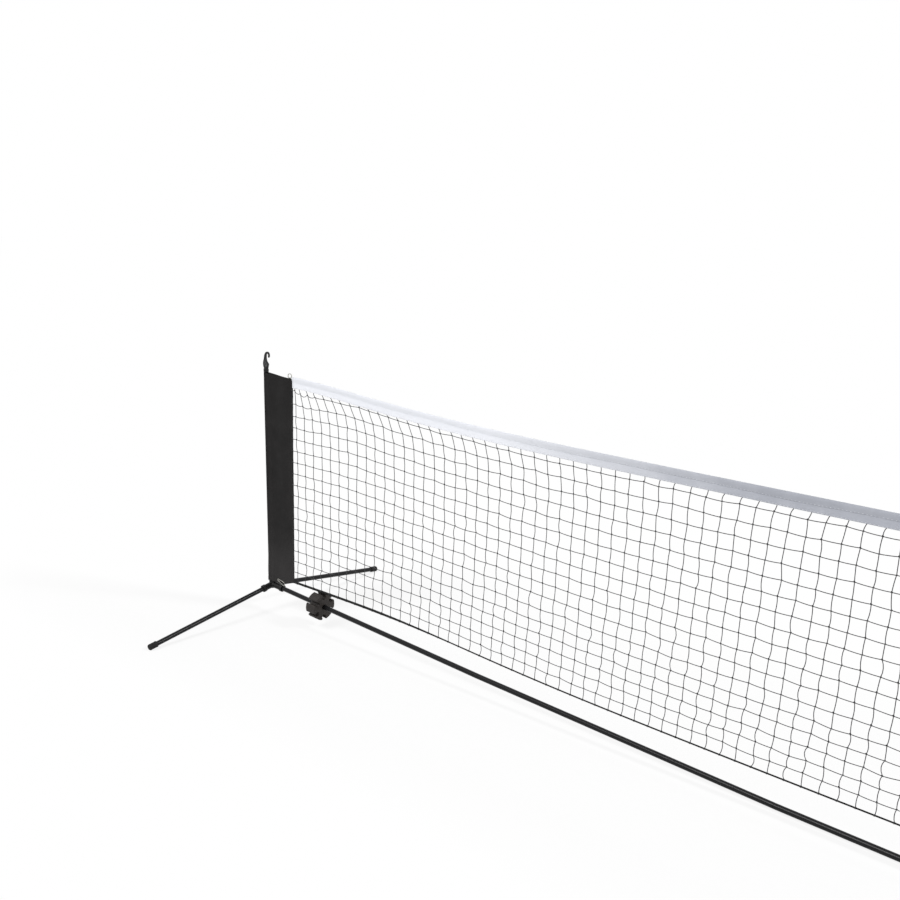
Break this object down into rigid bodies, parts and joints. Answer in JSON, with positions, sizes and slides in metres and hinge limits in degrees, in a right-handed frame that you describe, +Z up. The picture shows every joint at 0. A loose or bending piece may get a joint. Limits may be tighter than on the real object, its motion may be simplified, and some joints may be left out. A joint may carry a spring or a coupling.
{
  "type": "mini tennis net",
  "caption": "Portable mini tennis net: stands with splayed legs and telescoping posts, a jointed ground bar, a knotted mesh with a white headband, and hooks.",
  "frame": {"origin": "on the floor under the middle of the net", "axes": "+X along the net towards the right post, +Y to the rear of the net, +Z up"},
  "size_m": [5.8302, 1.0342, 0.9316],
  "materials": {
    "tube_paint": "satin black powder coat on steel tube",
    "moulded_nylon": "moulded black nylon, fine grain",
    "guide_nylon": "natural nylon",
    "clip_plastic": "brown-black soft plastic, matte",
    "cap_rubber": "matte black rubber",
    "sleeve_fabric": "charcoal woven polyester with hemmed edges",
    "tape_fabric": "white polyester tape, folded and stitched",
    "net_twine": "knotted dark grey twine",
    "black_cord": "black braided cord",
    "pale_cord": "pale grey braided cord"
  },
  "bodies": {
    "frame": {"left_hub": "moulded_nylon", "left_front_leg": "tube_paint", "left_rear_leg": "tube_paint", "left_front_leg_cap": "cap_rubber", "left_rear_leg_cap": "cap_rubber", "left_lower_post": "tube_paint", "left_mouth_liner": "guide_nylon", "left_bar_outer": "tube_paint", "left_bar_middle": "tube_paint", "left_bar_inner": "tube_paint", "right_hub": "moulded_nylon", "right_front_leg": "tube_paint", "right_rear_leg": "tube_paint", "right_front_leg_cap": "cap_rubber", "right_rear_leg_cap": "cap_rubber", "right_lower_post": "tube_paint", "right_mouth_liner": "guide_nylon", "right_bar_outer": "tube_paint", "right_bar_middle": "tube_paint", "right_bar_inner": "tube_paint"},
    "left_lift": {"left_upper_post": "tube_paint", "left_foot_bush": "guide_nylon", "left_sleeve": "sleeve_fabric", "left_cord_loop": "pale_cord", "left_tie_loop": "pale_cord", "net_mesh": "net_twine", "headband_tape": "tape_fabric", "top_cord": "pale_cord", "bottom_cord": "black_cord"},
    "right_lift": {"right_upper_post": "tube_paint", "right_foot_bush": "guide_nylon", "right_sleeve": "sleeve_fabric", "right_cord_loop": "pale_cord", "right_tie_loop": "pale_cord"},
    "left_hook_turn": {"left_hook": "moulded_nylon"},
    "right_hook_turn": {"right_hook": "moulded_nylon"},
    "left_clip": {"left_tube_clip": "clip_plastic"},
    "right_clip": {"right_tube_clip": "clip_plastic"}
  },
  "joints": [
    {"name": "left_post_extension", "type": "slide", "parent": "frame", "child": "left_lift", "axis": [0, 0, 1], "range_m": [0, 0.659]},
    {"name": "right_post_extension", "type": "slide", "parent": "frame", "child": "right_lift", "axis": [0, 0, 1], "range_m": [0, 0.659]},
    {"name": "left_hook_swivel", "type": "hinge", "parent": "left_lift", "child": "left_hook_turn", "pos_m": [-2.9, 0, 0.8608], "axis": [0, 0, 1], "continuous": true},
    {"name": "right_hook_swivel", "type": "hinge", "parent": "right_lift", "child": "right_hook_turn", "pos_m": [2.9, 0, 0.8608], "axis": [0, 0, 1], "continuous": true},
    {"name": "left_clip_slide", "type": "slide", "parent": "frame", "child": "left_clip", "axis": [0.9991, 0, -0.0413], "range_m": [-0.105, 0.68]},
    {"name": "right_clip_slide", "type": "slide", "parent": "frame", "child": "right_clip", "axis": [-0.9991, 0, -0.0413], "range_m": [-0.105, 0.68]}
  ],
  "couplings": [
    {"joint": "right_post_extension", "follows": "left_post_extension", "ratio": 1}
  ]
}
